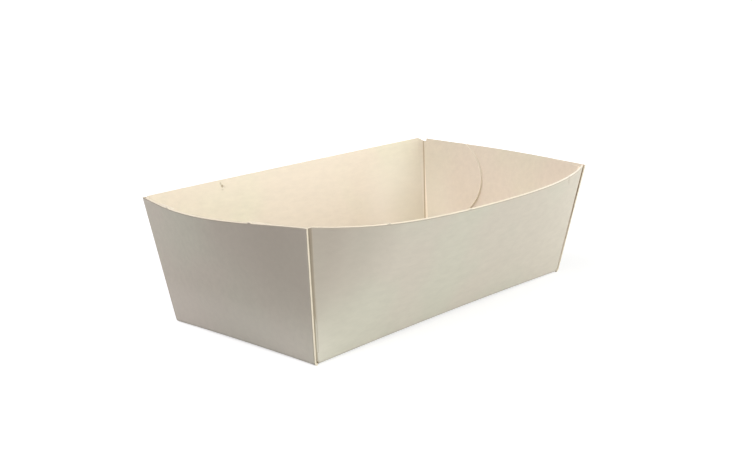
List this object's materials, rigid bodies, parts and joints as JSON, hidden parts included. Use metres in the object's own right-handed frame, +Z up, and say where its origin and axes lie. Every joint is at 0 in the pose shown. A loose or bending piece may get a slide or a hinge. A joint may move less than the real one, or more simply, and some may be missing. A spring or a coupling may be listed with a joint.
{
  "type": "paper food tray",
  "caption": "Open rectangular takeaway food tray, folded and glued from a sheet of paperboard, with flared walls whose rims bow outwards and rounded glue tabs inside its short walls.",
  "frame": {"origin": "middle of the base panel, on its flat underside", "axes": "+X along the tray, +Y across it, +Z up out of its open top"},
  "size_m": [0.1308, 0.0817, 0.0369],
  "materials": {
    "board": "matt, uncoated, slightly mottled"
  },
  "bodies": {
    "root": {"folded_tray": "board"}
  },
  "joints": []
}
